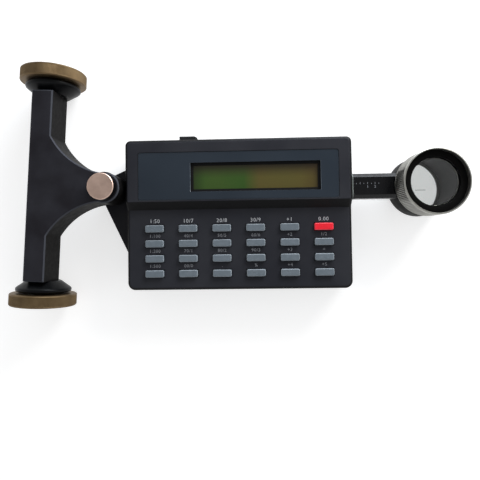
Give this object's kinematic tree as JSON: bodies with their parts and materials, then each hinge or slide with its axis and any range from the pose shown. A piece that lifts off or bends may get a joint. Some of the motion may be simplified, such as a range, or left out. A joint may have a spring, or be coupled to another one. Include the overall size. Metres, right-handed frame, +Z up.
{
  "type": "roller planimeter",
  "caption": "Digital roller planimeter: flat console with green display and small keys, T-shaped roller carriage on a swivel, and a short tracer arm with a round knurled magnifier.",
  "frame": {"origin": "the tracing point on the paper, under the middle of the magnifier, where the tracer's sole rests", "axes": "+X runs from the carriage pivot to the tracing point, +Z is up from the paper, +Y is towards the console's back edge"},
  "size_m": [0.3032, 0.1636, 0.0449],
  "materials": {
    "cover": "fine-grained satin black moulding",
    "panel": "smooth blue-black panel",
    "lcd_black": "flat black frame",
    "lcd": "green liquid crystal glass",
    "key": "satin blue-grey",
    "key_red": "satin red",
    "rubber_mat": "matt",
    "board": "green laminate",
    "battery": "shrunk sleeve",
    "screw": "bright",
    "arm_black": "satin black",
    "tracer_black": "satin black",
    "sole_white": "low-friction plastic",
    "clear": "polished clear",
    "knurled": "straight-knurled, bright rim",
    "cap": "turned face, bright bevel",
    "steel": "ground",
    "brass": "turned",
    "casting": "satin dark grey enamel",
    "roller_metal": "dull, fine-ground rim",
    "switch_black": "satin black"
  },
  "bodies": {
    "console": {"top_cover": "cover", "base_cover": "cover", "display_panel": "panel", "lcd_frame": "lcd_black", "lcd_glass": "lcd", "key_mat": "rubber_mat", "key_board": "board", "main_board": "board", "battery_pack": "battery", "console_screws": "screw", "arm_plate": "arm_black", "tracer_arm": "arm_black", "tracer_barrel": "tracer_black", "tracer_sole": "sole_white", "tracing_disc": "clear", "pivot_pin": "steel", "pivot_cap": "cap", "wheel_bracket": "brass", "encoder_sensor": "switch_black", "switch_frame": "switch_black", "charge_jack": "switch_black"},
    "grip": {"grip_ring": "knurled", "lens": "clear", "lens_retainer": "tracer_black"},
    "carriage": {"carriage_frame": "casting", "carriage_base": "casting", "pivot_bush": "brass", "end_bells": "casting", "roller_bearings": "steel"},
    "rollers": {"roller_front": "roller_metal", "roller_back": "roller_metal", "roller_axle": "steel"},
    "counting_wheel": {"measuring_wheel": "steel", "wheel_axle": "steel", "encoder_disc": "lcd_black"},
    "switch_rocker": {"power_rocker": "switch_black"},
    "key_row1_column1": {"key_row1_column1": "key"},
    "key_row1_column2": {"key_row1_column2": "key"},
    "key_row1_column3": {"key_row1_column3": "key"},
    "key_row1_column4": {"key_row1_column4": "key"},
    "key_row1_column5": {"key_row1_column5": "key"},
    "key_row1_column6": {"key_row1_column6": "key_red"},
    "key_row2_column1": {"key_row2_column1": "key"},
    "key_row2_column2": {"key_row2_column2": "key"},
    "key_row2_column3": {"key_row2_column3": "key"},
    "key_row2_column4": {"key_row2_column4": "key"},
    "key_row2_column5": {"key_row2_column5": "key"},
    "key_row2_column6": {"key_row2_column6": "key"},
    "key_row3_column1": {"key_row3_column1": "key"},
    "key_row3_column2": {"key_row3_column2": "key"},
    "key_row3_column3": {"key_row3_column3": "key"},
    "key_row3_column4": {"key_row3_column4": "key"},
    "key_row3_column5": {"key_row3_column5": "key"},
    "key_row3_column6": {"key_row3_column6": "key"},
    "key_row4_column1": {"key_row4_column1": "key"},
    "key_row4_column2": {"key_row4_column2": "key"},
    "key_row4_column3": {"key_row4_column3": "key"},
    "key_row4_column4": {"key_row4_column4": "key"},
    "key_row4_column5": {"key_row4_column5": "key"},
    "key_row4_column6": {"key_row4_column6": "key"}
  },
  "joints": [
    {"name": "carriage_swing", "type": "hinge", "parent": "console", "child": "carriage", "pos_m": [-0.213, 0, 0.01], "axis": [0, 0, 1], "range_deg": [-24.1, 29.9]},
    {"name": "roller_spin", "type": "hinge", "parent": "carriage", "child": "rollers", "pos_m": [-0.25644, 0.0022, 0.0215], "axis": [0.0506, 0.9987, 0], "continuous": true},
    {"name": "wheel_spin", "type": "hinge", "parent": "console", "child": "counting_wheel", "pos_m": [-0.14, 0, 0.0111], "axis": [1, 0, 0], "continuous": true},
    {"name": "grip_turn", "type": "hinge", "parent": "console", "child": "grip", "pos_m": [0, 0, 0.031], "axis": [0, 0, 1], "continuous": true},
    {"name": "rocker_tilt", "type": "hinge", "parent": "console", "child": "switch_rocker", "pos_m": [-0.1588, 0.0292, 0.0225], "axis": [0, 0, 1], "range_deg": [0, 8]},
    {"name": "press_key_row1_column1", "type": "slide", "parent": "console", "child": "key_row1_column1", "axis": [0, 0, -1], "range_m": [0, 0.0008], "stiffness_N_per_m": 700, "springref_m": -0.0003},
    {"name": "press_key_row1_column2", "type": "slide", "parent": "console", "child": "key_row1_column2", "axis": [0, 0, -1], "range_m": [0, 0.0008], "stiffness_N_per_m": 700, "springref_m": -0.0003},
    {"name": "press_key_row1_column3", "type": "slide", "parent": "console", "child": "key_row1_column3", "axis": [0, 0, -1], "range_m": [0, 0.0008], "stiffness_N_per_m": 700, "springref_m": -0.0003},
    {"name": "press_key_row1_column4", "type": "slide", "parent": "console", "child": "key_row1_column4", "axis": [0, 0, -1], "range_m": [0, 0.0008], "stiffness_N_per_m": 700, "springref_m": -0.0003},
    {"name": "press_key_row1_column5", "type": "slide", "parent": "console", "child": "key_row1_column5", "axis": [0, 0, -1], "range_m": [0, 0.0008], "stiffness_N_per_m": 700, "springref_m": -0.0003},
    {"name": "press_key_row1_column6", "type": "slide", "parent": "console", "child": "key_row1_column6", "axis": [0, 0, -1], "range_m": [0, 0.0008], "stiffness_N_per_m": 700, "springref_m": -0.0003},
    {"name": "press_key_row2_column1", "type": "slide", "parent": "console", "child": "key_row2_column1", "axis": [0, 0, -1], "range_m": [0, 0.0008], "stiffness_N_per_m": 700, "springref_m": -0.0003},
    {"name": "press_key_row2_column2", "type": "slide", "parent": "console", "child": "key_row2_column2", "axis": [0, 0, -1], "range_m": [0, 0.0008], "stiffness_N_per_m": 700, "springref_m": -0.0003},
    {"name": "press_key_row2_column3", "type": "slide", "parent": "console", "child": "key_row2_column3", "axis": [0, 0, -1], "range_m": [0, 0.0008], "stiffness_N_per_m": 700, "springref_m": -0.0003},
    {"name": "press_key_row2_column4", "type": "slide", "parent": "console", "child": "key_row2_column4", "axis": [0, 0, -1], "range_m": [0, 0.0008], "stiffness_N_per_m": 700, "springref_m": -0.0003},
    {"name": "press_key_row2_column5", "type": "slide", "parent": "console", "child": "key_row2_column5", "axis": [0, 0, -1], "range_m": [0, 0.0008], "stiffness_N_per_m": 700, "springref_m": -0.0003},
    {"name": "press_key_row2_column6", "type": "slide", "parent": "console", "child": "key_row2_column6", "axis": [0, 0, -1], "range_m": [0, 0.0008], "stiffness_N_per_m": 700, "springref_m": -0.0003},
    {"name": "press_key_row3_column1", "type": "slide", "parent": "console", "child": "key_row3_column1", "axis": [0, 0, -1], "range_m": [0, 0.0008], "stiffness_N_per_m": 700, "springref_m": -0.0003},
    {"name": "press_key_row3_column2", "type": "slide", "parent": "console", "child": "key_row3_column2", "axis": [0, 0, -1], "range_m": [0, 0.0008], "stiffness_N_per_m": 700, "springref_m": -0.0003},
    {"name": "press_key_row3_column3", "type": "slide", "parent": "console", "child": "key_row3_column3", "axis": [0, 0, -1], "range_m": [0, 0.0008], "stiffness_N_per_m": 700, "springref_m": -0.0003},
    {"name": "press_key_row3_column4", "type": "slide", "parent": "console", "child": "key_row3_column4", "axis": [0, 0, -1], "range_m": [0, 0.0008], "stiffness_N_per_m": 700, "springref_m": -0.0003},
    {"name": "press_key_row3_column5", "type": "slide", "parent": "console", "child": "key_row3_column5", "axis": [0, 0, -1], "range_m": [0, 0.0008], "stiffness_N_per_m": 700, "springref_m": -0.0003},
    {"name": "press_key_row3_column6", "type": "slide", "parent": "console", "child": "key_row3_column6", "axis": [0, 0, -1], "range_m": [0, 0.0008], "stiffness_N_per_m": 700, "springref_m": -0.0003},
    {"name": "press_key_row4_column1", "type": "slide", "parent": "console", "child": "key_row4_column1", "axis": [0, 0, -1], "range_m": [0, 0.0008], "stiffness_N_per_m": 700, "springref_m": -0.0003},
    {"name": "press_key_row4_column2", "type": "slide", "parent": "console", "child": "key_row4_column2", "axis": [0, 0, -1], "range_m": [0, 0.0008], "stiffness_N_per_m": 700, "springref_m": -0.0003},
    {"name": "press_key_row4_column3", "type": "slide", "parent": "console", "child": "key_row4_column3", "axis": [0, 0, -1], "range_m": [0, 0.0008], "stiffness_N_per_m": 700, "springref_m": -0.0003},
    {"name": "press_key_row4_column4", "type": "slide", "parent": "console", "child": "key_row4_column4", "axis": [0, 0, -1], "range_m": [0, 0.0008], "stiffness_N_per_m": 700, "springref_m": -0.0003},
    {"name": "press_key_row4_column5", "type": "slide", "parent": "console", "child": "key_row4_column5", "axis": [0, 0, -1], "range_m": [0, 0.0008], "stiffness_N_per_m": 700, "springref_m": -0.0003},
    {"name": "press_key_row4_column6", "type": "slide", "parent": "console", "child": "key_row4_column6", "axis": [0, 0, -1], "range_m": [0, 0.0008], "stiffness_N_per_m": 700, "springref_m": -0.0003}
  ]
}
